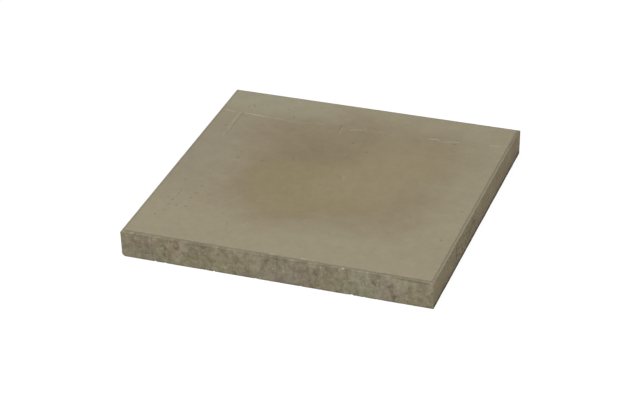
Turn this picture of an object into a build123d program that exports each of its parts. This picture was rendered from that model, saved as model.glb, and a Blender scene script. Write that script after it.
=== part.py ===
"""Square concrete paving slab, pressed in one piece.

The slab lies flat with its bed face down on Z = 0 and its walking face up. The origin is the
middle of the bed face, +X runs to the right-hand edge and -Y to the front edge.
"""

import os
from math import atan2, degrees

from build123d import *

# Driving dimensions, in millimetres
length = 500.0  # from the left edge to the right edge, at the widest level, just under the arris
width = 500.0  # from the front edge to the back edge, at the same level
thickness = 45.0  # from the bed face to the walking face
arris_width = 5.0  # bevel round the walking face, measured across the face
arris_drop = 2.5  # the same bevel, measured down the edge
edge_undercut = 0.5  # how far each edge face leans in from the arris to the bed
upright_radius = 1.5  # rounding of the four upright corners
bed_radius = 1.0  # rounding of the edges round the bed face
front_left_wear = 8.0  # length that the worn front left bed corner has lost along each of its edges
back_right_wear = 5.0  # length that the worn back right bed corner has lost along each of its edges

# Depth of a worn corner's centre of rounding behind each of its faces, as a share of the wear
wear_centre_share = 1.2

# The level of the arris, and the lean of the edge faces below it
arris_level = thickness - arris_drop
undercut_angle = degrees(atan2(edge_undercut, arris_level))


def worn_corner(x_sign, y_sign, wear):
    """The concrete lost from a bed corner: all that lies outside a ball through the ends of the wear."""
    corner = Vector(x_sign * (length / 2 - edge_undercut), y_sign * (width / 2 - edge_undercut), 0)
    depth = wear * wear_centre_share
    centre = corner + Vector(-x_sign * depth, -y_sign * depth, depth)
    wear_end = corner + Vector(0, 0, wear)
    with BuildPart() as lost:
        with Locations(corner):
            Box(2 * wear, 2 * wear, 2 * wear)
        with Locations(centre):
            Sphere((centre - wear_end).length, mode=Mode.SUBTRACT)
    return lost.part


lost_corners = [worn_corner(-1, -1, front_left_wear), worn_corner(1, 1, back_right_wear)]

# The slab: a block with leaning edge faces, a bevel round the walking face and rounded corners
with BuildPart() as slab:
    with BuildSketch():
        Rectangle(length, width)
    extrude(amount=thickness)
    edge_faces = slab.faces().filter_by(Axis.Z, reverse=True)
    draft(edge_faces, Plane.XY.offset(arris_level), -undercut_angle)
    walking_face = slab.faces().sort_by(Axis.Z).last
    chamfer(walking_face.edges(), arris_width, arris_drop, reference=walking_face)
    fillet(slab.edges().filter_by(Plane.XY, reverse=True), upright_radius)
    bed_face = slab.faces().sort_by(Axis.Z).first
    fillet(bed_face.edges(), bed_radius)
    add(lost_corners, mode=Mode.SUBTRACT)

slab.part.label = "paving_slab"

os.makedirs("parts", exist_ok=True)
export_step(slab.part, "parts/paving_slab.step")

print("volume in cubic millimetres", round(slab.part.volume))
print("size in millimetres", slab.part.bounding_box().size)
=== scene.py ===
# %% [markdown]
# # A concrete paving slab
#
# The object is one square slab of pressed concrete. The CAD model holds its true sizes, and this lesson
# gives the same slab its looks: a worn, finely rough mesh and a concrete finish made of nodes.
#
# The first cell loads the imported CAD model as a fixed frame. Every object here is in metres, in that
# frame, so nothing has to be moved to fit.

# %% Load the frame
import math
import random

import bmesh
import bpy
from mathutils import Matrix, Quaternion, Vector, noise


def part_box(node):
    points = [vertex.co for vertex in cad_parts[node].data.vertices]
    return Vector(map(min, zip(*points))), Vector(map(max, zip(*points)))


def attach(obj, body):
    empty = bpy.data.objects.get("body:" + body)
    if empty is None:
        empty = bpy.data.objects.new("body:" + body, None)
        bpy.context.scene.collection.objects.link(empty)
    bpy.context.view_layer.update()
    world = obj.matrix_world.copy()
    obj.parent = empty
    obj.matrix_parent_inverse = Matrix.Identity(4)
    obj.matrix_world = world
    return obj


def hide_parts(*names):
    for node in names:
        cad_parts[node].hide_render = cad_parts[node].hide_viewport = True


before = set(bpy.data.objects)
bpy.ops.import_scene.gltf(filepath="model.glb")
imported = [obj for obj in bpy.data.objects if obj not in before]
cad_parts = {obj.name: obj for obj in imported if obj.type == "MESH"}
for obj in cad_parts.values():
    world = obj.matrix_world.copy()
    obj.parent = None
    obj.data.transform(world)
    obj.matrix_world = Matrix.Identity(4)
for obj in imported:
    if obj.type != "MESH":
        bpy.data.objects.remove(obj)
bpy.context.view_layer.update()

MM = 0.001
NODE = "paving_slab"
low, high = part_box(NODE)
length, width, thickness = (high - low) / MM
print(f"CAD slab: {length:.1f} x {width:.1f} x {thickness:.1f} mm")

# %% [markdown]
# ## The camera
#
# The slab was seen from in front, a little from the right and about 30 degrees from above, through a
# long lens. A camera can be placed by typing a position and three angles, but then it is hard to
# correct. Here it is placed by what it looks at: an aim point on the slab, two angles around it, a
# distance, and a small roll about its own line of sight.

# %% Camera
LENS_MM = 122.4
AZIMUTH_DEG = 19.70
ELEVATION_DEG = 30.03
ROLL_DEG = -1.11
DISTANCE_M = 3.437
AIM_MM = Vector((-2.2, -32.4, 22.5))


def place_camera():
    """A camera on a sphere around the aim point, turned towards it and then rolled."""
    azimuth, elevation = math.radians(AZIMUTH_DEG), math.radians(ELEVATION_DEG)
    flat = math.cos(elevation)
    back = Vector((math.sin(azimuth) * flat, -math.cos(azimuth) * flat, math.sin(elevation)))
    roll = Quaternion((0, 0, 1), math.radians(ROLL_DEG))
    camera = bpy.data.objects.new("camera", bpy.data.cameras.new("camera"))
    camera.data.lens = LENS_MM
    place = AIM_MM * MM + back * DISTANCE_M
    camera.matrix_world = Matrix.LocRotScale(place, back.to_track_quat("Z", "Y") @ roll, None)
    bpy.context.scene.collection.objects.link(camera)
    bpy.context.scene.camera = camera
    return camera


camera = place_camera()
print("Camera at", [round(x, 3) for x in camera.matrix_world.translation])

# %% [markdown]
# ## The plain block
#
# A slab mould gives a block with a shallow bevel, the arris, round the walking face, and edge faces
# that lean in a little towards the bed so that the slab comes out of the mould. The sizes of the arris
# could be typed again, but they are read from the CAD solid's own corners, so that they can't differ
# from it.

# %% Size of the arris
TINY = 0.01

corners = [v.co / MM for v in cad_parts[NODE].data.vertices]
walking_half = max(c.x for c in corners if c.z > thickness - TINY)
arris_level = max(c.z for c in corners if c.x > length / 2 - TINY)
arris_width = length / 2 - walking_half
arris_drop = thickness - arris_level
print(f"Arris: {arris_width:.2f} mm wide, {arris_drop:.2f} mm deep")

# %% [markdown]
# A cube is stretched to the slab's size, its top face is inset by the width of the arris, and the old
# rim is lowered. Two bevels then round the upright corners and the bed's edges. A narrow inset inside
# the walking face holds its shading flat right up to the arris.

# %% Block
UPRIGHT_RADIUS = 1.5
UPRIGHT_SEGMENTS = 4
BED_RADIUS = 1.0
BED_SEGMENTS = 2
EDGE_UNDERCUT = 0.5
SUPPORT_RIM = 1.2


def climbs(edge):
    """True for an edge that climbs, such as an upright corner or a mitre of the arris."""
    return abs(edge.verts[0].co.z - edge.verts[1].co.z) > TINY


def at_bed(edge):
    """True for an edge that lies on the bed."""
    return all(v.co.z < TINY for v in edge.verts)


def top_face(bm):
    """The highest face."""
    return max(bm.faces, key=lambda f: f.calc_center_median().z)


def make_block():
    """The slab in millimetres, with its arris, leaning edge faces and rounded corners."""
    bm = bmesh.new()
    bmesh.ops.create_cube(bm, size=1)
    bmesh.ops.translate(bm, vec=(0, 0, 0.5), verts=bm.verts)
    bmesh.ops.scale(bm, vec=(length, width, thickness), verts=bm.verts)
    bed = [v for v in bm.verts if v.co.z < TINY]
    bmesh.ops.inset_region(bm, faces=[top_face(bm)], thickness=arris_width, use_even_offset=True)
    rim = [v for v in bm.verts if v.co.z > TINY and abs(v.co.x) > walking_half + TINY]
    bmesh.ops.translate(bm, vec=(0, 0, -arris_drop), verts=rim)
    lean = (1 - 2 * EDGE_UNDERCUT / length, 1 - 2 * EDGE_UNDERCUT / width, 1)
    bmesh.ops.scale(bm, vec=lean, verts=bed)
    shape = dict(affect="EDGES", offset_type="OFFSET", profile=0.5, material=-1)
    climbing = [e for e in bm.edges if climbs(e)]
    bmesh.ops.bevel(bm, geom=climbing, offset=UPRIGHT_RADIUS, segments=UPRIGHT_SEGMENTS, **shape)
    bed_edges = [e for e in bm.edges if at_bed(e)]
    bmesh.ops.bevel(bm, geom=bed_edges, offset=BED_RADIUS, segments=BED_SEGMENTS, **shape)
    bmesh.ops.inset_region(bm, faces=[top_face(bm)], thickness=SUPPORT_RIM, use_even_offset=True)
    return bm


slab = make_block()
print(f"Block: {len(slab.verts)} vertices, {len(slab.faces)} faces")

# %% [markdown]
# ## Pits in the walking face
#
# A few small pits are open in the walking face, most of them near its left side. They could come from
# noise, but the eye knows a slab by such marks, so each is listed. Their places are needed
# before the mesh is divided, because it has to be finest there.

# %% Places of the pits
PIT_RADIUS = 3.5

# Shares of the slab's sides, from the left edge and from the back edge
pit_shares = (
    (0.134, 0.585), (0.135, 0.711), (0.136, 0.799), (0.079, 0.802), (0.105, 0.801), (0.062, 0.761),
    (0.079, 0.771), (0.069, 0.640), (0.063, 0.871), (0.079, 0.840), (0.131, 0.745), (0.177, 0.711),
    (0.136, 0.664), (0.178, 0.459), (0.260, 0.455), (0.950, 0.757), (0.099, 0.098), (0.106, 0.108),
    (0.087, 0.113), (0.224, 0.096), (0.060, 0.263), (0.177, 0.419), (0.260, 0.147), (0.503, 0.254),
    (0.820, 0.164), (0.963, 0.573), (0.535, 0.484), (0.565, 0.300),
)
pits = [Vector(((u - 0.5) * length, (0.5 - v) * width)) for u, v in pit_shares]
print("Pits:", len(pits))

# %% [markdown]
# ## A mesh that is fine where the surface is rough
#
# The edge faces of pressed concrete are coarse, while the walking face is nearly flat apart from its
# pits. One even grid would spend most of its faces on the flat part. So planes cut the block into a
# first grid of cells, and then every edge that is longer than the wanted spacing at its place is
# halved, again and again. The spacing is small on the edge faces, smaller in the pits, and grows with
# the distance from both. A narrow cell at each corner keeps the rounding there out of the grid.

# %% Wanted spacing
EDGE_SPACING = 1.42
PIT_SPACING = 0.9
FACE_SPACING = 5.5
BED_SPACING = 22.0
GROWTH_SHARE = 0.45


def inset_of(place):
    """How far a place lies inside the slab's widest outline."""
    return min(length / 2 - abs(place.x), width / 2 - abs(place.y))


def spacing_at(place):
    """The wanted length of an edge at a place."""
    spread = EDGE_SPACING + GROWTH_SHARE * max(inset_of(place) - arris_width, 0)
    if place.z > thickness - TINY:
        reach = min((place.xy - pit).length for pit in pits) - PIT_RADIUS
        return min(spread, FACE_SPACING, PIT_SPACING + GROWTH_SHARE * max(reach, 0))
    if place.z < TINY:
        return min(spread, BED_SPACING)
    return EDGE_SPACING


print(f"Spacing in the middle of the walking face: {spacing_at(Vector((0, 0, thickness))):.1f} mm")

# %% Divide the block
FIRST_CELLS = 12
CORNER_CELL = 8.0


def too_long(edge):
    """True for an edge that is longer than the spacing at its middle."""
    return edge.calc_length() > spacing_at((edge.verts[0].co + edge.verts[1].co) / 2)


def divide(bm):
    """Cuts the block into cells, then halves every edge that is still too long at its place."""
    for direction, half in ((Vector((1, 0, 0)), length / 2), (Vector((0, 1, 0)), width / 2)):
        span = half - CORNER_CELL
        for i in range(FIRST_CELLS + 1):
            place = direction * span * (2 * i / FIRST_CELLS - 1)
            geom = bm.verts[:] + bm.edges[:] + bm.faces[:]
            bmesh.ops.bisect_plane(bm, geom=geom, plane_co=place, plane_no=direction)
    while long := [e for e in bm.edges if too_long(e)]:
        bmesh.ops.subdivide_edges(bm, edges=long, cuts=1, use_grid_fill=True)
    bmesh.ops.triangulate(bm, faces=[f for f in bm.faces if len(f.verts) > 4])


divide(slab)
print(f"Divided: {len(slab.verts)} vertices, {sum(len(f.verts) - 2 for f in slab.faces)} triangles")

# %% [markdown]
# ## An unfolded map
#
# While the faces are still flat, the slab is unfolded like a box, so that its finish can be baked to
# one picture later. Blender could unwrap it by itself, but a slab has a plain unfolding that keeps each
# face whole: the walking face and the bed lie side by side, and each edge face is a long strip above
# them, with the arris at the top of its strip.

# %% Unfold
MAP_MARGIN = 0.01
SQUARE_SHARES = Vector((0.5, 0.6))
STRIP_SHARES = Vector((1, 0.1))
STRIP_TALL = thickness + 2 * arris_width
FLAT_NORMAL = 0.95


def on_map(face, place):
    """The map's place for a corner of a face, by the way the face looks."""
    normal = face.normal
    across, along = place.x / length + 0.5, place.y / width + 0.5
    if abs(normal.z) > FLAT_NORMAL:
        start = Vector((0 if normal.z > 0 else SQUARE_SHARES.x, 0))
        spot, size = Vector((across, along)), SQUARE_SHARES
    else:
        sideways = abs(normal.x) > abs(normal.y)
        row = 2 * sideways + (normal.x > 0 if sideways else normal.y > 0)
        climb = place.z + math.copysign(inset_of(place), normal.z) + arris_width / 2
        start = Vector((0, SQUARE_SHARES.y + row * STRIP_SHARES.y))
        spot, size = Vector((along if sideways else across, climb / STRIP_TALL)), STRIP_SHARES
    room = size - Vector((MAP_MARGIN, MAP_MARGIN))
    return start + (size - room) / 2 + spot * room


def unfold(bm):
    """Gives every corner of every face its place on the map."""
    layer = bm.loops.layers.uv.new("OFBake")
    bm.normal_update()
    for face in bm.faces:
        for loop in face.loops:
            loop[layer].uv = on_map(face, loop.vert.co)


unfold(slab)
print("Map:", slab.loops.layers.uv.keys())

# %% [markdown]
# ## The coarse edges: lumps
#
# The relief is real geometry, so that it shows in the outline and in a print. An edge face is torn
# concrete: lumps of the mix that each stand at a level of their own, with creases between some of them.
# Plain noise would look like dunes, so the lumps come from a Voronoi pattern, whose cells are bent out
# of shape first. Each cell has its own level, and the levels go over into each other at the cells'
# borders.

# %% Lumps
LUMP_SIZE = 15.0
LUMP_SHARPNESS = 14
LUMP_SOFTNESS = 0.05
CREASE_WIDTH = 1.6
CREASE_PATCH = 15.0
WARP_SIZE = 6.0
WARP_REACH = 2.2
NOISE_SEED = 5

# Creases show only where the noise of their patches passes from the first of these to the second
crease_range = (0.42, 0.7)

noise.seed_set(NOISE_SEED)


def between(start, end, share):
    """The value that lies a share of the way from start to end."""
    return start + (end - start) * share


def soft_step(start, end, x):
    """Goes smoothly from 0 at start to 1 at end."""
    t = min(max((x - start) / (end - start), 0), 1)
    return t * t * (3 - 2 * t)


def unit_noise(place, size):
    """Smooth noise from 0 to 1, with lumps of that size."""
    return between(0.5, 1, noise.noise(place / size))


def lump_depth(place):
    """Depth of the lumps at a place, from 0 to 1, and how deep the crease between two of them is."""
    warped = place + noise.noise_vector(place / WARP_SIZE) * WARP_REACH
    distances, centres = noise.voronoi(warped / LUMP_SIZE)
    weights = [(LUMP_SOFTNESS + d) ** -LUMP_SHARPNESS for d in distances]
    levels = [between(0.5, 1, noise.cell(centre * LUMP_SIZE)) for centre in centres]
    depth = sum(w * level for w, level in zip(weights, levels)) / sum(weights)
    gap = (distances[1] - distances[0]) * LUMP_SIZE
    patch = soft_step(*crease_range, unit_noise(place, CREASE_PATCH))
    crease = (1 - soft_step(0, CREASE_WIDTH, gap)) * patch
    return depth, crease


mid_front = Vector((0, -width / 2, thickness / 2))
print("Lump and crease at mid front:", [round(x, 2) for x in lump_depth(mid_front)])

# %% [markdown]
# ## The coarse edges: pores, waves and the mould
#
# Small open pores, waves and grit come on top of the lumps. What stands out furthest is flat, because
# it lay against the mould, so all that would stand out more is cut off at one plane. Some stretches of
# an edge are calmer than others, and the left and right edges are calmer than the front and back ones.
# Beside the depth, each place gets a shade: painted shade that the finish uses to darken what lies deep.

# %% Edge relief
LUMP_LEVELS = 1.1
CREASE_DEPTH = 0.35
PORE_SPACING = 7.5
PORE_RADIUS = 1.8
PORE_DEPTH = 0.9
PORE_SHARE = 0.42
PORE_DRAW = 0.27
SIDE_PORES = 0.3
SMOOTH_BAND = 5.0
TOP_CALM = 0.25
UPRIGHT_STRETCH = 0.65
SIDE_CALM = 0.3
PANEL_SIZE = 70.0
PANEL_CALM = 0.6
MOULD_PLANE = 0.75
EVEN_SHADE = 0.49
LUMP_SHADE = 0.42
CREASE_SHADE = 0.5
WAVE_SHADE = 0.3
GRIT_SHADE = 0.6

# Calm panels: where their noise passes from the first of these to the second, the relief is full
panel_range = (0.35, 0.65)

# Depth under the arris at which the pores begin, and at which they are full
pore_start = (1.0, 4.0)

# Broad waves, waves and grit: size across and greatest depth
edge_waves = ((22.0, 0.4), (6.5, 0.6), (3.0, 0.5))


def pore_depth(place):
    """Depth of the open pore at a place, from 0 to 1."""
    distances, centres = noise.voronoi(place / PORE_SPACING)
    rise = 1 - distances[0] * PORE_SPACING / PORE_RADIUS
    if rise <= 0 or unit_noise(centres[0], PORE_DRAW) > PORE_SHARE:
        return 0
    return soft_step(0, 1, rise)


def edge_relief(place, sideways):
    """How far an edge face sinks at a place, the painted shade of its relief, and how hollow it is."""
    below = arris_level - place.z
    panel = soft_step(*panel_range, unit_noise(place, PANEL_SIZE))
    calm = (SIDE_CALM if sideways else 1) * between(PANEL_CALM, 1, panel)
    rough = calm * between(TOP_CALM, 1, soft_step(0, SMOOTH_BAND, below))
    tall = Vector((place.x, place.y, place.z * UPRIGHT_STRETCH))
    lump, crease = lump_depth(tall)
    broad, wave, grit = [depth * unit_noise(tall, size) for size, depth in edge_waves]
    relief = LUMP_LEVELS * lump + CREASE_DEPTH * crease + broad + wave + grit
    # Painted shade: lumps, creases and waves that lie deep come out darker
    shade = LUMP_SHADE * lump + CREASE_SHADE * crease + WAVE_SHADE * wave + GRIT_SHADE * grit
    pore = pore_depth(place) * soft_step(*pore_start, below) * (SIDE_PORES if sideways else 1)
    depth = rough * max(relief - MOULD_PLANE, 0) + PORE_DEPTH * pore
    return depth, between(EVEN_SHADE, shade, calm), pore


print(f"Edge relief at mid front: {edge_relief(mid_front, False)[0]:.2f} mm")

# %% [markdown]
# ## Blow-holes
#
# A patch of larger holes sits on the right-hand edge, where air stayed in the mould. Their places,
# sizes and depths are drawn at random from a seed, so that the slab is the same every time. Noise makes
# their rims ragged.

# %% Blow-holes
HOLE_COUNT = 72
HOLE_SEED = 23
HOLE_DEPTH = 1.2
HOLE_FLOOR = 0.35
HOLE_RIM_SIZE = 1.9

# The patch: from and to along the edge, from the front, and height above the bed
hole_run = (118.0, 240.0)
hole_rise = (13.0, 39.0)

# Smallest and largest: radius, share of the depth, and stretch of the radius by the ragged rim
hole_radii = (1.2, 3.6)
hole_depths = (0.3, 1.0)
hole_rims = (0.45, 1.5)


def scatter_holes():
    """Places, radii and shares of the depth of the blow-holes on the right-hand edge."""
    chance = random.Random(HOLE_SEED)
    holes = []
    for _ in range(HOLE_COUNT):
        spot = Vector((chance.uniform(*hole_run) - width / 2, chance.uniform(*hole_rise)))
        holes.append((spot, chance.uniform(*hole_radii), chance.uniform(*hole_depths)))
    return holes


def hole_depth(place):
    """Depth of the blow-hole at a place on the right-hand edge, from 0 to 1."""
    spot = Vector((place.y, place.z))
    ragged = between(*hole_rims, unit_noise(place, HOLE_RIM_SIZE))
    reaches = [((spot - middle).length / (radius * ragged), deep) for middle, radius, deep in holes]
    return max(deep * (1 - soft_step(HOLE_FLOOR, 1, reach)) for reach, deep in reaches)


holes = scatter_holes()
print("Blow-holes:", len(holes))

# %% [markdown]
# ## The walking face and the arris
#
# The walking face is the lower of two surfaces: the face itself, with its pits, and the slope of the
# arris carried on upwards. Where they cross, the arris begins. Nicks and roughness that lower the slope
# then move that line by themselves.

# %% Heights of the walking face and the arris
PIT_DEPTH = 0.22
PIT_FLOOR = 0.1
PIT_DRAW = 17.0
PIT_RIM = 0.2
PIT_RIM_SIZE = 1.5
FACE_WAVE = 0.1
FACE_WAVE_SIZE = 45.0
ARRIS_ROUGHNESS = 0.16
NICK_SIZE = 1.2
NICK_SPACING = 5.0
NICK_LEVEL = 0.5

# Smallest and largest pit, as shares of the pits' radius, and the sizes of the arris's waves
pit_sizes = (0.65, 1.25)
arris_waves = (9.0, 3.0)


def face_height(place):
    """Height of the worn walking face at a place, and how hollow it is there."""
    height = thickness - FACE_WAVE * unit_noise(place, FACE_WAVE_SIZE)
    pit = min(pits, key=lambda p: (p - place.xy).length_squared)
    size = between(*pit_sizes, unit_noise(pit.to_3d(), PIT_DRAW))
    ragged = size + PIT_RIM * noise.noise(place / PIT_RIM_SIZE)
    hollow = 1 - soft_step(PIT_FLOOR, 1, (pit - place.xy).length / (PIT_RADIUS * ragged))
    return height - PIT_DEPTH * hollow, hollow


def arris_height(place):
    """Height of the arris's slope, carried on past its ends, at a place."""
    rough = ARRIS_ROUGHNESS * sum(unit_noise(place, size) for size in arris_waves)
    nick = NICK_SIZE * max(noise.noise(place / NICK_SPACING) - NICK_LEVEL, 0)
    return arris_level + inset_of(place) * arris_drop / arris_width - rough - nick


print(f"Arris at its outer line: {arris_height(Vector((0, -width / 2, 0))):.2f} mm high")

# %% [markdown]
# ## Chips and worn corners
#
# The bed's edges have lost small chips, fewer on the left and right, and two bed corners are worn round
# as on the CAD solid. Cutting each chip with a boolean would be slow. Moving the vertices does the
# same: a vertex that a chip takes goes back to the chip's slope, and one at a worn corner goes back to
# a ball.

# %% Chips and worn corners
CHIP_SIZE = 11.0
CHIP_LEVEL = 0.14
SIDE_CHIPS = 0.06
CHIP_FREE = 70.0
FRONT_LEFT_WEAR = 8.0
BACK_RIGHT_WEAR = 5.0
WEAR_CENTRE_SHARE = 1.2

# Waves that make the chips: size across and weight
chip_waves = ((12.0, 0.6), (4.0, 0.5))


def chipped(place):
    """The place moved in to a chip's slope, if a chip of the bed's edge takes it."""
    spot = Vector((place.x, place.y, 0))
    from_sides, from_ends = length / 2 - abs(place.x), width / 2 - abs(place.y)
    sideways = from_sides < from_ends
    loss = sum(weight * noise.noise(spot / size) for size, weight in chip_waves) - CHIP_LEVEL
    off_corner = soft_step(0, CHIP_FREE, max(from_sides, from_ends))
    chip = CHIP_SIZE * loss * (SIDE_CHIPS if sideways else 1) * off_corner
    missing = chip - max(inset_of(place) - EDGE_UNDERCUT, 0) - place.z
    if missing <= 0:
        return place
    inward = Vector((-math.copysign(sideways, place.x), -math.copysign(not sideways, place.y), 1))
    return place + inward * missing / 2


def worn_round(place, x_sign, y_sign, wear):
    """The place moved in to the ball that rounds a worn bed corner."""
    corner = Vector((x_sign * (length / 2 - EDGE_UNDERCUT), y_sign * (width / 2 - EDGE_UNDERCUT), 0))
    centre = corner + Vector((-x_sign, -y_sign, 1)) * wear * WEAR_CENTRE_SHARE
    radius = (centre - corner - Vector((0, 0, wear))).length
    near = all(abs(place[i] - corner[i]) < wear for i in range(3))
    away = place - centre
    return centre + away.normalized() * radius if near and away.length > radius else place


tip = Vector((-length / 2, -width / 2, 0)) + Vector((EDGE_UNDERCUT, EDGE_UNDERCUT, 0))
print(f"Front left bed corner: {(worn_round(tip, -1, -1, FRONT_LEFT_WEAR) - tip).length:.2f} mm lost")

# %% [markdown]
# ## The worn slab
#
# Now each vertex is moved once. A vertex of an edge face goes straight inwards, and one that looks up
# also takes the height of the walking face or the arris. Chips and worn corners come last, because they
# cut through all of it. Everything moves inwards, so the slab keeps its size. How hollow and how dark a
# place is goes into two attributes of the mesh: the finish lays dirt and painted shade into what is deep.

# %% Wear the slab
# How dark the pits are made: dirt and painted shade
PIT_DIRT_AND_SHADE = 0.34
UP_NORMAL = 0.3
RIGHT_NORMAL = 0.8

# A vertex counts as one of an edge face when its normal's flat part passes from the first to the second
side_normals = (0.3, 0.8)


def wear_down(bm):
    """Moves every vertex to the worn surface and stores how hollow it is and its painted shade."""
    hollow_layer = bm.verts.layers.float.new("hollow")
    shade_layer = bm.verts.layers.float.new("shade")
    bm.normal_update()
    for vert in bm.verts:
        place, normal = vert.co.copy(), vert.normal.copy()
        flat = Vector((normal.x, normal.y, 0))
        side = soft_step(*side_normals, flat.length)
        shade, hollow = EVEN_SHADE, 0
        if side > 0:
            depth, shade, hollow = edge_relief(place, abs(normal.x) > abs(normal.y))
            if normal.x > RIGHT_NORMAL:
                hole = hole_depth(place)
                depth, hollow = max(depth, HOLE_DEPTH * hole), max(hollow, hole)
            place -= flat.normalized() * depth * side
        if normal.z > UP_NORMAL:
            face, pit = face_height(place)
            place.z = min(face, arris_height(place), place.z)
            # Pits get dirt and painted shade
            hollow = max(hollow * side, PIT_DIRT_AND_SHADE * pit)
        place = worn_round(chipped(place), -1, -1, FRONT_LEFT_WEAR)
        vert.co = worn_round(place, 1, 1, BACK_RIGHT_WEAR)
        vert.co.z = max(vert.co.z, 0)
        vert[hollow_layer] = hollow
        vert[shade_layer] = shade


wear_down(slab)
heights = [v.co.z for v in slab.verts]
print(f"Worn slab: from {min(heights):.3f} to {max(heights):.2f} mm high")

# %% [markdown]
# The finished mesh is turned from millimetres to metres and given to one object at the origin. Smooth
# shading suits it, because the relief is finer than the eye can follow.

# %% Slab object
def as_object(bm, name):
    """Writes the bmesh, in metres, to a new object at the origin."""
    bmesh.ops.scale(bm, vec=(MM, MM, MM), verts=bm.verts)
    for face in bm.faces:
        face.smooth = True
    mesh = bpy.data.meshes.new(name)
    bm.to_mesh(mesh)
    bm.free()
    piece = bpy.data.objects.new(name, mesh)
    bpy.context.scene.collection.objects.link(piece)
    return piece


slab_piece = as_object(slab, "weathered_slab")
print("Object:", slab_piece.name, [round(x / MM, 2) for x in slab_piece.dimensions])

# %% [markdown]
# ## Nodes in a few words
#
# Materials are trees of nodes. One small function adds a node, sets its options and fills its inputs:
# an input takes a number, a colour or another node, and the stops of a colour ramp are places with a
# grey each. Colours are written as the usual sRGB hex values, and one function turns them to the linear
# values that Blender works with. Sizes of patterns are written in millimetres, and one more function
# turns them to the scale that a texture wants.

# %% Node helper
def linear(hex_colour):
    """A hex colour as linear red, green, blue and full alpha."""
    channels = [int(hex_colour[i:i + 2], 16) / 255 for i in (1, 3, 5)]
    return [c / 12.92 if c <= 0.04045 else ((c + 0.055) / 1.055) ** 2.4 for c in channels] + [1]


def add(tree, kind, inputs=None, stops=(), **settings):
    """Adds a node with its settings, links or values for its inputs, and the stops of a colour ramp."""
    node = tree.nodes.new("ShaderNode" + kind)
    for name, value in settings.items():
        setattr(node, name, value)
    for key, value in (inputs or {}).items():
        named = [s for s in node.inputs if s.enabled and s.name == key]
        socket = named[0] if named else node.inputs[key]
        if isinstance(value, bpy.types.Node):
            value = next(s for s in value.outputs if s.enabled)
        if isinstance(value, bpy.types.NodeSocket):
            tree.links.new(value, socket)
        else:
            socket.default_value = value
    for _ in stops[2:]:
        node.color_ramp.elements.new(1)
    for i, (share, grey) in enumerate(stops):
        node.color_ramp.elements[i].position = share
        node.color_ramp.elements[i].color = (grey, grey, grey, 1)
    return node


def per_metre(size_mm):
    """Scale of a texture whose features are that size."""
    return 1 / (size_mm * MM)


SOFT = dict(interpolation_type="SMOOTHSTEP")
COLOURS = dict(data_type="RGBA")
TINT = dict(data_type="RGBA", blend_type="MULTIPLY")

# Most of a noise texture's values lie between these two
NOISE_SPREAD = {"From Min": 0.3, "From Max": 0.7}
print("Grey #808080 is", [round(c, 3) for c in linear("#808080")])

# %% [markdown]
# ## Where a point lies
#
# The finish is bare pressed concrete: matt, with the smooth top that the mould's steel gave it and the
# coarse mix at its edges. One material covers the whole slab, because it is one casting, and the next
# cells build it up part by part. It changes from place to place: the walking face, the arris, the
# edges, their foot and the bed. All of this follows from a point's own coordinates, so a few nodes work
# it out once.

# %% Survey
BED_START = 2.0
BED_FULL = 9.0

concrete = bpy.data.materials.new("pressed_concrete")
concrete.use_nodes = True
concrete.node_tree.nodes.clear()


def survey(tree):
    """A point's place, inset and height, and masks of the bed, of the left and right, and of the left."""
    place = add(tree, "TexCoord").outputs["Object"]
    folded = add(tree, "VectorMath", {0: place}, operation="ABSOLUTE")
    half = (length / 2 * MM, width / 2 * MM, 0)
    inside = add(tree, "VectorMath", {0: half, 1: folded}, operation="SUBTRACT")
    parts = add(tree, "SeparateXYZ", {0: inside})
    inset = add(tree, "Math", {0: parts.outputs["X"], 1: parts.outputs["Y"]}, operation="MINIMUM")
    height = add(tree, "SeparateXYZ", {0: folded}).outputs["Z"]
    under = add(tree, "Math", {0: inset, 1: height}, operation="SUBTRACT")
    limits = {"From Min": BED_START * MM, "From Max": BED_FULL * MM}
    bed = add(tree, "MapRange", {"Value": under, **limits}, **SOFT)
    beside = add(tree, "Math", {0: parts.outputs["X"], 1: parts.outputs["Y"]}, operation="LESS_THAN")
    sideways = add(tree, "Math", {0: beside, 1: bed}, operation="SUBTRACT", use_clamp=True)
    across = add(tree, "SeparateXYZ", {0: place}).outputs["X"]
    negative = add(tree, "Math", {0: across, 1: 0}, operation="LESS_THAN")
    left = add(tree, "Math", {0: negative, 1: sideways}, operation="MULTIPLY")
    return dict(place=place, inset=inset, height=height, bed=bed, sideways=sideways, left=left)


where = survey(concrete.node_tree)
print("Survey:", ", ".join(where))

# %% [markdown]
# ## The walking face
#
# The colour of the walking face drifts: the margins dried pale, and the middle, which stayed damp
# longest, is brown with olive patches. It could be painted on a picture, but nodes stay sharp at any
# size, so soft clouds with ragged borders make this, one laid over the other. Each is a distance from a
# middle, measured so that the cloud is a rounded rectangle, and noise moves its border in and out. A
# finer noise then mottles the whole face.

# %% Clouds
CLOUD_RAGGED = 1.4

# Where a cloud's border starts to fade and where it ends, in its half sizes, with the raggedness
cloud_fade = {"From Min": 0.8, "From Max": 2.2, "To Min": 1, "To Max": 0}

# Clouds, from the lowest: middle and half size in millimetres, turn in degrees, and colour
clouds = (
    (Vector((-190, 235, 0)), Vector((130, 60)), 0, "#9d9781"),
    (Vector((-240, 40, 0)), Vector((75, 140)), 0, "#958c78"),
    (Vector((14, 24, 0)), Vector((182, 178)), 0, "#8b7e67"),
    (Vector((5, -30, 0)), Vector((125, 85)), 12, "#918567"),
    (Vector((85, 40, 0)), Vector((80, 125)), -18, "#958a6f"),
)


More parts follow.
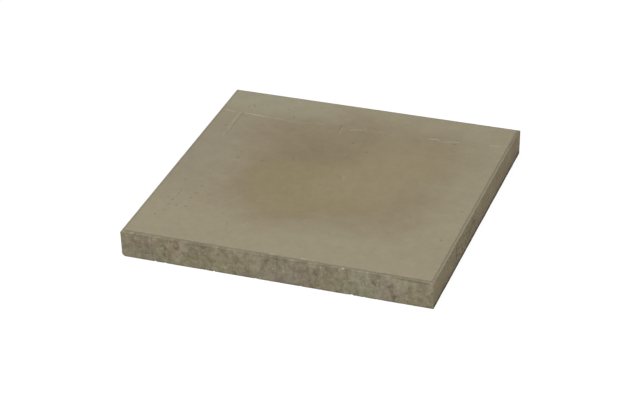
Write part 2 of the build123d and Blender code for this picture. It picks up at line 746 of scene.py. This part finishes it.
def cloud_mask(tree, place, ragged, middle, half, turn_deg):
    """1 inside a rounded rectangle with a soft, ragged border, 0 outside."""
    moved = add(tree, "VectorMath", {0: place, 1: middle * MM}, operation="SUBTRACT")
    turn = {"Vector": moved, "Angle": -math.radians(turn_deg)}
    turned = add(tree, "VectorRotate", turn, rotation_type="Z_AXIS")
    scale = (per_metre(half.x), per_metre(half.y), 0)
    inside = add(tree, "VectorMath", {0: turned, 1: scale}, operation="MULTIPLY")
    squared = add(tree, "VectorMath", {0: inside, 1: inside}, operation="MULTIPLY")
    reach = add(tree, "VectorMath", {0: squared}, operation="LENGTH")
    border = add(tree, "Math", {0: ragged, 1: CLOUD_RAGGED, 2: reach}, operation="MULTIPLY_ADD")
    return add(tree, "MapRange", {"Value": border, **cloud_fade}, **SOFT)


print("Clouds:", len(clouds))

# %% Walking face colour
MARGIN_PALE = "#9b927b"
DRIFT_SIZE = 80.0
MOTTLE_SIZE = 24.0

# How far the hue drifts, and how far the mottle darkens and lightens
face_hues = {"To Min": 0.494, "To Max": 0.506}
face_mottle = {"To Min": 0.94, "To Max": 1.06}


def walking_face(tree, place):
    """Colour of the walking face: pale margins, and a brown and olive middle."""
    drifting = {"Vector": place, "Scale": per_metre(DRIFT_SIZE), "Detail": 4, "Roughness": 0.55}
    drift = add(tree, "TexNoise", drifting)
    colour = linear(MARGIN_PALE)
    for *shape, tint in clouds:
        mask = cloud_mask(tree, place, drift, *shape)
        colour = add(tree, "Mix", {"Factor": mask, "A": colour, "B": linear(tint)}, **COLOURS)
    hue = add(tree, "MapRange", {"Value": drift.outputs["Color"], **NOISE_SPREAD, **face_hues})
    colour = add(tree, "HueSaturation", {"Hue": hue, "Color": colour})
    mottling = {"Vector": place, "Scale": per_metre(MOTTLE_SIZE), "Detail": 7, "Roughness": 0.76}
    mottle = add(tree, "TexNoise", mottling)
    value = add(tree, "MapRange", {"Value": mottle, **NOISE_SPREAD, **face_mottle})
    return add(tree, "Mix", {"Factor": 1, "A": colour, "B": value}, **TINT)


face_colour = walking_face(concrete.node_tree, where["place"])
print("Nodes with the walking face:", len(concrete.node_tree.nodes))

# %% [markdown]
# ## The arris
#
# The bevel is nearly as smooth as the walking face, but dirt and painted shade darken the line where it
# begins, and the front bevel is darkened with painted shade. On the left and right its outer line has a
# painted highlight, and on the left all these lines are fainter than on the others. A colour ramp across
# the bevel holds the tone, from its inner line to its outer one, and noise moves the tone to and fro so
# that the lines aren't drawn with a ruler.

# %% Arris tone
ARRIS_SPREAD = 2.0
ARRIS_RAGGED = 0.25
ARRIS_WAVE_SIZE = 7.0
LEFT_FAINTER = 0.45
UNCHANGED_TONE = (1, 1, 1, 1)

# Dirt, painted shade and, on the left and right, a painted highlight, from their start to the outer line:
# share of the way, and share of the light kept
side_tones = (
    (0, 1), (0.20, 0.92), (0.34, 0.74), (0.46, 0.77), (0.58, 0.92), (0.70, 1.03), (0.80, 0.94),
    (0.92, 0.69),
)
front_tones = ((0, 1), (0.12, 0.95), (0.26, 0.69), (0.36, 0.68), (0.48, 0.79), (0.70, 0.76), (1, 0.68))

# How far the tone changes along the bevel
arris_mottle = {"To Min": 0.95, "To Max": 1.05}


def moved_by_noise(tree, value, place, size, reach):
    """A value that noise of a size moves to and fro, and the noise."""
    wave = add(tree, "TexNoise", {"Vector": place, "Scale": per_metre(size), "Detail": 3})
    ragged = add(tree, "MapRange", {"Value": wave, "To Min": -reach, "To Max": reach})
    return add(tree, "Math", {0: value, 1: ragged}, operation="ADD"), wave


def arris_tone(tree, where):
    """Share of the light that the arris keeps, 1 on the walking face."""
    limits = {"From Min": (arris_width + ARRIS_SPREAD) * MM, "From Max": 0}
    run = add(tree, "MapRange", {"Value": where["inset"], **limits})
    moved, wave = moved_by_noise(tree, run, where["place"], ARRIS_WAVE_SIZE, ARRIS_RAGGED)
    # Dirt, painted shade and painted highlight across the bevel, from its inner line to its outer one
    front = add(tree, "ValToRGB", {"Fac": moved}, front_tones)
    side = add(tree, "ValToRGB", {"Fac": moved}, side_tones)
    tone = add(tree, "Mix", {"Factor": where["sideways"], "A": front, "B": side}, **COLOURS)
    # On the left the arris's dirt, painted shade and painted highlight are fainter
    fainter = add(tree, "Math", {0: where["left"], 1: LEFT_FAINTER}, operation="MULTIPLY")
    tone = add(tree, "Mix", {"Factor": fainter, "A": tone, "B": UNCHANGED_TONE}, **COLOURS)
    mottle = add(tree, "MapRange", {"Value": wave.outputs["Color"], **NOISE_SPREAD, **arris_mottle})
    return add(tree, "Mix", {"Factor": run, "A": tone, "B": mottle}, **TINT)


tone = arris_tone(concrete.node_tree, where)
toned_face = add(concrete.node_tree, "Mix", {"Factor": 1, "A": face_colour, "B": tone}, **TINT)
print("Nodes with the arris:", len(concrete.node_tree.nodes))

# %% [markdown]
# ## The edge faces: paste
#
# The edges show the mix itself. Its grey paste gets painted shade where the relief lies deep, which the
# mesh's shade tells, and noise blotches it. The left and right edges are browner and calmer. A broad
# noise lets the hue, the saturation and the value drift along an edge, each by its own channel.

# %% Edge paste
EDGE_LIGHT = "#b0a68d"
EDGE_DARK = "#7d7460"
SIDE_BROWN = "#a09174"
SIDE_SHARE = 0.65
SHADE_WEIGHT = -0.5
BLOTCH_SIZE = 8.0
EDGE_DRIFT_SIZE = 40.0

# The blotches less the painted shade: where the paste is darkest and where it is lightest
paste_range = {"From Min": -0.06, "From Max": 0.44}

# How far the colour drifts along an edge, at its lowest and its highest
edge_drifts = (("Hue", 0.478, 0.522), ("Saturation", 0.90, 1.10), ("Value", 0.92, 1.08))


def edge_paste(tree, where):
    """Colour of the paste on the edge faces, with painted shade where the relief lies deep."""
    blotching = {"Scale": per_metre(BLOTCH_SIZE), "Detail": 5, "Roughness": 0.65}
    blotch = add(tree, "TexNoise", {"Vector": where["place"], **blotching})
    shade = add(tree, "Attribute", attribute_name="shade").outputs["Fac"]
    # Painted shade: the relief's shade darkens the blotched paste
    mixed = add(tree, "Math", {0: shade, 1: SHADE_WEIGHT, 2: blotch}, operation="MULTIPLY_ADD")
    tone = add(tree, "MapRange", {"Value": mixed, **paste_range})
    both = {"A": linear(EDGE_DARK), "B": linear(EDGE_LIGHT)}
    colour = add(tree, "Mix", {"Factor": tone, **both}, **COLOURS)
    brown = add(tree, "Math", {0: where["sideways"], 1: SIDE_SHARE}, operation="MULTIPLY")
    colour = add(tree, "Mix", {"Factor": brown, "A": colour, "B": linear(SIDE_BROWN)}, **COLOURS)
    drifting = {"Vector": where["place"], "Scale": per_metre(EDGE_DRIFT_SIZE), "Detail": 3}
    channels = add(tree, "SeparateColor", {0: add(tree, "TexNoise", drifting).outputs["Color"]})
    drifts = {}
    for channel, (name, lowest, highest) in zip(channels.outputs, edge_drifts):
        limits = {**NOISE_SPREAD, "To Min": lowest, "To Max": highest}
        drifts[name] = add(tree, "MapRange", {"Value": channel, **limits})
    return add(tree, "HueSaturation", {"Color": colour, **drifts})


paste = edge_paste(concrete.node_tree, where)
print("Nodes with the paste:", len(concrete.node_tree.nodes))

# %% [markdown]
# ## The edge faces: grains and painted shade
#
# A few pale grains of the sand show in the paste, more faintly on the left and right. A Voronoi pattern
# gives a grain in each cell, and its random colour chooses which of them show and how strongly. Noise
# bends the pattern, because plain cells give neat dots. Real sand is finer: the grains are drawn as
# coarse as they need to be to show. Towards the bed the edges are darkened with painted shade, and the
# front arris, which the mix reaches into, keeps two dark lines of dirt and painted shade with a paler
# band between them. Both are colour ramps over the height, and noise moves the ramp of the front and back
# to and fro.

# %% Grains and painted shade
GRAIN_PALE = "#ddd5c0"
GRAIN_SPACING = 4.2
GRAIN_BEND_SIZE = 3.0
GRAIN_BEND_MM = Vector((2.4, 2.4, 2.4))
SIDE_GRAINS = 0.35
SHADE_WAVE_SIZE = 9.0
SHADE_RAGGED = 0.04
BED_TONE = (0.86, 0.86, 0.86, 1)

# A cell's random value from which its grain shows, and at which it shows fully
grain_choice = {"From Min": 0.79, "From Max": 1.0}

# A grain's strength at its middle and its fade towards the cell's border
grain_fade = {"From Min": 0.18, "From Max": 0.42, "To Min": 0.7, "To Max": 0}

# Painted shade from the bed to the walking face: share of the height, and share of the light kept
front_painted_shade = (
    (0, 0.55), (0.06, 0.89), (0.3, 0.89), (0.6, 0.92), (0.9, 1), (0.92, 0.98), (0.936, 0.69),
    (0.946, 0.645), (0.956, 0.69), (0.965, 0.76), (0.975, 0.7), (0.988, 0.65),
)
side_painted_shade = ((0, 0.18), (0.08, 0.36), (0.18, 0.91), (0.6, 0.96), (0.9, 1))


def with_grains(tree, where, colour):
    """The colour with pale grains of sand in it."""
    bending = {"Vector": where["place"], "Scale": per_metre(GRAIN_BEND_SIZE)}
    bend = add(tree, "TexNoise", bending).outputs["Color"]
    reach = {0: bend, 1: GRAIN_BEND_MM * MM, 2: where["place"]}
    bent = add(tree, "VectorMath", reach, operation="MULTIPLY_ADD")
    grains = add(tree, "TexVoronoi", {"Vector": bent, "Scale": per_metre(GRAIN_SPACING)})
    chosen = add(tree, "MapRange", {"Value": grains.outputs["Color"], **grain_choice})
    size = add(tree, "MapRange", {"Value": grains.outputs["Distance"], **grain_fade})
    shown = add(tree, "Math", {0: chosen, 1: size}, operation="MULTIPLY")
    kept = add(tree, "MapRange", {"Value": where["sideways"], "To Min": 1, "To Max": SIDE_GRAINS})
    share = add(tree, "Math", {0: shown, 1: kept}, operation="MULTIPLY")
    return add(tree, "Mix", {"Factor": share, "A": colour, "B": linear(GRAIN_PALE)}, **COLOURS)


def painted_shade_tone(tree, where):
    """Share of the light that the edge faces and the bed keep."""
    rise = add(tree, "MapRange", {"Value": where["height"], "From Max": thickness * MM})
    moved, _ = moved_by_noise(tree, rise, where["place"], SHADE_WAVE_SIZE, SHADE_RAGGED)
    front = add(tree, "ValToRGB", {"Fac": moved}, front_painted_shade)
    side = add(tree, "ValToRGB", {"Fac": rise}, side_painted_shade)
    edges = add(tree, "Mix", {"Factor": where["sideways"], "A": front, "B": side}, **COLOURS)
    return add(tree, "Mix", {"Factor": where["bed"], "A": edges, "B": BED_TONE}, **COLOURS)


grainy = with_grains(concrete.node_tree, where, paste)
# Painted shade: darker towards the bed, with dark lines of dirt and painted shade along the front arris
painted_edge_shade = painted_shade_tone(concrete.node_tree, where)
edge_colour = add(concrete.node_tree, "Mix", {"Factor": 1, "A": grainy, "B": painted_edge_shade}, **TINT)
print("Nodes with the edge faces:", len(concrete.node_tree.nodes))

# %% [markdown]
# ## From the walking face to the edge
#
# The finish goes over from the smooth face to the coarse edge at a certain height. On the left and
# right that is just under the arris. On the front and back the coarse mix reaches up the bevel, nearly
# to its inner line, so there the border is lifted.

# %% Face and edge together
EDGE_BLEND = 0.8
FRONT_LIFT = 2.2


def edge_share(tree, where):
    """1 on the edge faces and the bed, 0 on the walking face."""
    lifting = {0: where["sideways"], 1: FRONT_LIFT * MM, 2: where["height"]}
    level = add(tree, "Math", lifting, operation="MULTIPLY_ADD")
    start = arris_level + FRONT_LIFT
    limits = {"From Min": start * MM, "From Max": (start - EDGE_BLEND) * MM}
    return add(tree, "MapRange", {"Value": level, **limits}, **SOFT)


coarse = edge_share(concrete.node_tree, where)
both = {"Factor": coarse, "A": toned_face, "B": edge_colour}
plain_colour = add(concrete.node_tree, "Mix", both, **COLOURS)
print("Nodes with both together:", len(concrete.node_tree.nodes))

# %% [markdown]
# ## Strokes
#
# Straps and the next slab in the stack leave thin scratches on the walking face, and the arris has
# chips and lines of dirt. Each is a stroke from one place to another. A stroke's mask needs the
# distance to a line of limited length: the place is turned so that the stroke lies along X, its half
# length is taken off, and what is left over is the distance. A stroke also has a depth, so that it
# doesn't come out on the bed.

# %% Strokes
STROKE_HALF = 1.9


def on_slab(shares):
    """Place on the walking face, in metres, of shares of its sides from the left and the back."""
    return Vector(((shares[0] - 0.5) * length, (0.5 - shares[1]) * width, thickness)) * MM


def stroke_mask(tree, place, stroke, depth):
    """A stroke's strength on its line and down to a depth, falling to 0 beside it."""
    first, last, strength = on_slab(stroke[0]), on_slab(stroke[1]), stroke[2]
    run = last - first
    moved = add(tree, "VectorMath", {0: place, 1: (first + last) / 2}, operation="SUBTRACT")
    turn = {"Vector": moved, "Angle": -math.atan2(run.y, run.x)}
    along = add(tree, "VectorRotate", turn, rotation_type="Z_AXIS")
    folded = add(tree, "VectorMath", {0: along}, operation="ABSOLUTE")
    reach = (run.length / 2, 0, depth * MM)
    left = add(tree, "VectorMath", {0: folded, 1: reach}, operation="SUBTRACT")
    over = add(tree, "VectorMath", {0: left, 1: (0, 0, 0)}, operation="MAXIMUM")
    distance = add(tree, "VectorMath", {0: over}, operation="LENGTH")
    fade = {"From Max": STROKE_HALF * MM, "To Min": strength, "To Max": 0}
    return add(tree, "MapRange", {"Value": distance, **fade}, **SOFT)


def with_strokes(tree, colour, place, strokes, tint, depth=arris_drop, share=1):
    """The colour with strokes of a tint laid over it. The share can be a node that breaks them."""
    strongest = 0
    for stroke in strokes:
        mask = stroke_mask(tree, place, stroke, depth)
        strongest = add(tree, "Math", {0: mask, 1: strongest}, operation="MAXIMUM")
    shown = add(tree, "Math", {0: strongest, 1: share}, operation="MULTIPLY")
    return add(tree, "Mix", {"Factor": shown, "A": colour, "B": linear(tint)}, **COLOURS)


print(f"Strokes are {2 * STROKE_HALF:.1f} mm wide")

# %% [markdown]
# The straight strokes come first. Dirt and painted shade lie thicker along some stretches of the arris,
# a few chips of it are pale, and the joints of the mould left dark lines and pale burrs that stand
# upright on the front edge.

# %% Straight strokes
MARK_PALE = "#bdb49e"
MARK_DARK = "#6a6250"

# The first table holds dark lines of dirt and painted shade along the arris
# Shares of the slab's sides from the left and from the back at each end, and how strong it is
arris_dirt_and_shade = (
    ((0.000, 0.990), (0.290, 0.990), 0.14), ((0.840, 0.990), (1.000, 0.990), 0.18),
    ((0.885, 0.998), (0.985, 0.998), 0.60), ((0.995, 0.000), (0.995, 0.130), 0.45),
)
arris_chips = (
    ((0.487, 0.985), (0.493, 0.985), 0.90), ((0.584, 0.983), (0.597, 0.984), 0.55),
    ((0.715, 0.996), (0.720, 0.996), 0.95),
)
mould_lines = (
    ((0.105, 0.994), (0.105, 1.000), 0.20), ((0.420, 0.994), (0.420, 1.000), 0.20),
    ((0.508, 0.994), (0.508, 1.000), 0.30),
)
mould_burrs = (
    ((0.098, 0.994), (0.098, 1.000), 0.14), ((0.261, 0.994), (0.261, 1.000), 0.16),
    ((0.315, 0.994), (0.315, 1.000), 0.14), ((0.792, 0.994), (0.792, 1.000), 0.20),
)


def with_marks(tree, colour, place):
    """The colour with the marks of the arris and the mould."""
    # Dark lines of dirt and painted shade along the arris
    colour = with_strokes(tree, colour, place, arris_dirt_and_shade, MARK_DARK)
    colour = with_strokes(tree, colour, place, arris_chips, MARK_PALE)
    colour = with_strokes(tree, colour, place, mould_burrs, MARK_PALE, depth=thickness)
    return with_strokes(tree, colour, place, mould_lines, MARK_DARK, depth=thickness)


marked_colour = with_marks(concrete.node_tree, plain_colour, where["place"])
print("Straight strokes:", len(arris_dirt_and_shade + arris_chips + mould_burrs + mould_lines))

# %% [markdown]
# The scratches are a little wavy and broken in places. One noise bends the place that their strokes are
# measured from, and another one lets only parts of them show.

# %% Scratches
BEND_SIZE = 22.0
BREAK_SIZE = 13.0
BEND_MM = Vector((4, 8, 0))
NOISE_MIDDLE = Vector((0.5, 0.5, 0.5))

# The noise under which a scratch is broken, and above which it is whole
break_range = {"From Min": 0.3, "From Max": 0.55}

# Shares of the slab's sides from the left and from the back at each end, and how strong it is
pale_scratches = (
    ((0.022, 0.158), (0.054, 0.164), 0.60), ((0.074, 0.165), (0.077, 0.330), 0.35),
    ((0.090, 0.163), (0.175, 0.166), 0.70), ((0.175, 0.166), (0.225, 0.170), 0.50),
    ((0.225, 0.170), (0.258, 0.170), 0.30), ((0.258, 0.170), (0.369, 0.162), 0.28),
    ((0.440, 0.218), (0.436, 0.170), 0.35), ((0.453, 0.174), (0.511, 0.160), 0.50),
    ((0.507, 0.137), (0.522, 0.172), 0.35), ((0.525, 0.158), (0.592, 0.160), 0.42),
    ((0.700, 0.156), (0.735, 0.155), 0.40), ((0.735, 0.155), (0.764, 0.153), 0.90),
    ((0.764, 0.162), (0.800, 0.160), 0.30), ((0.795, 0.153), (0.832, 0.149), 0.60),
    ((0.860, 0.147), (0.885, 0.145), 0.25), ((0.935, 0.138), (0.985, 0.127), 0.55),
    ((0.546, 0.478), (0.552, 0.500), 0.38), ((0.335, 0.702), (0.380, 0.690), 0.16),
)
dark_scratches = (
    ((0.086, 0.165), (0.084, 0.320), 0.35), ((0.428, 0.143), (0.433, 0.212), 0.45),
    ((0.083, 0.700), (0.084, 0.748), 0.35), ((0.292, 0.848), (0.304, 0.888), 0.35),
    ((0.343, 0.386), (0.358, 0.425), 0.30),
)


def scratched(tree, colour, place):
    """The colour with pale and dark scratches."""
    bending = {"Vector": place, "Scale": per_metre(BEND_SIZE), "Detail": 2}
    bend = add(tree, "TexNoise", bending).outputs["Color"]
    centred = add(tree, "VectorMath", {0: bend, 1: NOISE_MIDDLE}, operation="SUBTRACT")
    bent = add(tree, "VectorMath", {0: centred, 1: BEND_MM * MM, 2: place}, operation="MULTIPLY_ADD")
    breaking = {"Vector": place, "Scale": per_metre(BREAK_SIZE), "Detail": 3}
    whole = add(tree, "MapRange", {"Value": add(tree, "TexNoise", breaking), **break_range})
    colour = with_strokes(tree, colour, bent, pale_scratches, MARK_PALE, share=whole)
    return with_strokes(tree, colour, bent, dark_scratches, MARK_DARK, share=whole)


scratched_colour = scratched(concrete.node_tree, marked_colour, where["place"])
print("Scratches:", len(pale_scratches + dark_scratches))

# %% [markdown]
# ## The shader
#
# Dirt and painted shade sit where the mesh says that a pore, a hole or a pit is deep. Concrete is matt,
# so the shader gets a high roughness and little shine. The grit of the coarse faces is finer than the
# mesh, so it is bump: it is strong on the edges and barely there on the walking face.

# %% Concrete
# Dark colour of the hollows: dirt and painted shade
PORE_DIRT_AND_SHADE = "#3b362a"
DIRT_AND_SHADE_SHARE = 0.85
GRIT_SIZE = 1.8
GRIT_DEPTH = 0.6
matt_finish = {"Roughness": 0.9, "Specular IOR Level": 0.1}

# Strength of the grit on the walking face and on the edges
grit_strengths = {"To Min": 0.05, "To Max": 0.5}


def finish_concrete(tree, colour, place, coarse):
    """Lays dirt and painted shade into the hollows and ends the tree with a matt, gritty shader."""
    hollow = add(tree, "Attribute", attribute_name="hollow").outputs["Fac"]
    # Dirt and painted shade in the pores, holes and pits
    dirt_and_shade = add(tree, "MapRange", {"Value": hollow, "To Max": DIRT_AND_SHADE_SHARE})
    colour = add(tree, "Mix", {"Factor": dirt_and_shade, "A": colour, "B": linear(PORE_DIRT_AND_SHADE)}, **COLOURS)
    gritting = {"Vector": place, "Scale": per_metre(GRIT_SIZE), "Detail": 4, "Roughness": 0.6}
    grit = add(tree, "TexNoise", gritting)
    strength = add(tree, "MapRange", {"Value": coarse, **grit_strengths})
    bump = add(tree, "Bump", {"Height": grit, "Strength": strength, "Distance": GRIT_DEPTH * MM})
    shader = add(tree, "BsdfPrincipled", {"Base Color": colour, "Normal": bump, **matt_finish})
    add(tree, "OutputMaterial", {"Surface": shader})


finish_concrete(concrete.node_tree, scratched_colour, where["place"], coarse)
slab_piece.data.materials.append(concrete)
print("Material:", concrete.name, "with", len(concrete.node_tree.nodes), "nodes")

# %% [markdown]
# ## Stage and light
#
# A large soft light hangs over the slab, a little to the front, as in a bright hall. The walking face
# gets most of it, and the edge faces live mainly on what the pale floor throws back. As a background
# the floor is white, and it still keeps the slab's shadow: for the rays that show it, most of its white
# is its own, and only a small share is lit.

# %% Floor
FLOOR_SIZE_M = 16
FLOOR_DROP_M = 0.0002
FLOOR_PALE = "#f0f0f0"
FLOOR_GLOW = 0.9
FLOOR_WHITE = 1.05


def background_rays(tree):
    """1 for the rays that show the background: the camera's, and those sent on by gloss or glass."""
    rays = add(tree, "LightPath").outputs
    sent_on = {0: rays["Is Glossy Ray"], 1: rays["Is Transmission Ray"]}
    indirect = add(tree, "Math", sent_on, operation="MAXIMUM")
    return add(tree, "Math", {0: rays["Is Camera Ray"], 1: indirect}, operation="MAXIMUM")


def floor_white():
    """A pale matt finish that is white as a background, with a faint shadow."""
    material = bpy.data.materials.new("floor_white")
    material.use_nodes = True
    tree = material.node_tree
    tree.nodes.clear()
    matt = add(tree, "BsdfDiffuse", {"Color": linear(FLOOR_PALE)})
    glow = add(tree, "Emission", {"Strength": FLOOR_WHITE})
    share = add(tree, "Math", {0: background_rays(tree), 1: FLOOR_GLOW}, operation="MULTIPLY")
    both = add(tree, "MixShader", {"Fac": share, 1: matt, 2: glow})
    add(tree, "OutputMaterial", {"Surface": both})
    return material


def make_floor():
    """A plain floor, a hair under the slab."""
    bm = bmesh.new()
    bmesh.ops.create_grid(bm, x_segments=1, y_segments=1, size=FLOOR_SIZE_M / 2)
    floor = bpy.data.objects.new("floor", bpy.data.meshes.new("floor"))
    bm.to_mesh(floor.data)
    bm.free()
    floor.location.z = -FLOOR_DROP_M
    floor.data.materials.append(floor_white())
    bpy.context.scene.collection.objects.link(floor)
    return floor


floor = make_floor()
print("Floor:", FLOOR_SIZE_M, "m square")

# %% Light
LIGHT_PLACE_M = Vector((-0.2, -1.2, 4.5))
LIGHT_SIZE_M = 3.5
LIGHT_POWER_W = 223
SKY_WHITE = "#ffffff"
SKY_DIM = 0.08


def soft_light(name, place, size, power):
    """A square soft light that looks from a place to the origin."""
    lamp = bpy.data.lights.new(name, "AREA")
    lamp.size = size
    lamp.energy = power
    light = bpy.data.objects.new(name, lamp)
    light.matrix_world = Matrix.LocRotScale(place, place.to_track_quat("Z", "Y"), None)
    bpy.context.scene.collection.objects.link(light)
    return light


def make_world():
    """White as a background, dim as a light."""
    world = bpy.data.worlds.new("studio")
    world.use_nodes = True
    tree = world.node_tree
    tree.nodes.clear()
    strength = add(tree, "MapRange", {"Value": background_rays(tree), "To Min": SKY_DIM, "To Max": 1})
    sky = add(tree, "Background", {"Color": linear(SKY_WHITE), "Strength": strength})
    add(tree, "OutputWorld", {"Surface": sky})
    bpy.context.scene.world = world


overhead = soft_light("overhead", LIGHT_PLACE_M, LIGHT_SIZE_M, LIGHT_POWER_W)
make_world()
bpy.context.scene.view_settings.view_transform = "Standard"
print("Light:", overhead.name, overhead.data.energy, "W")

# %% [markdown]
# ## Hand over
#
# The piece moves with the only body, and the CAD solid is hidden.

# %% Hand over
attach(slab_piece, "root")
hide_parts(NODE)
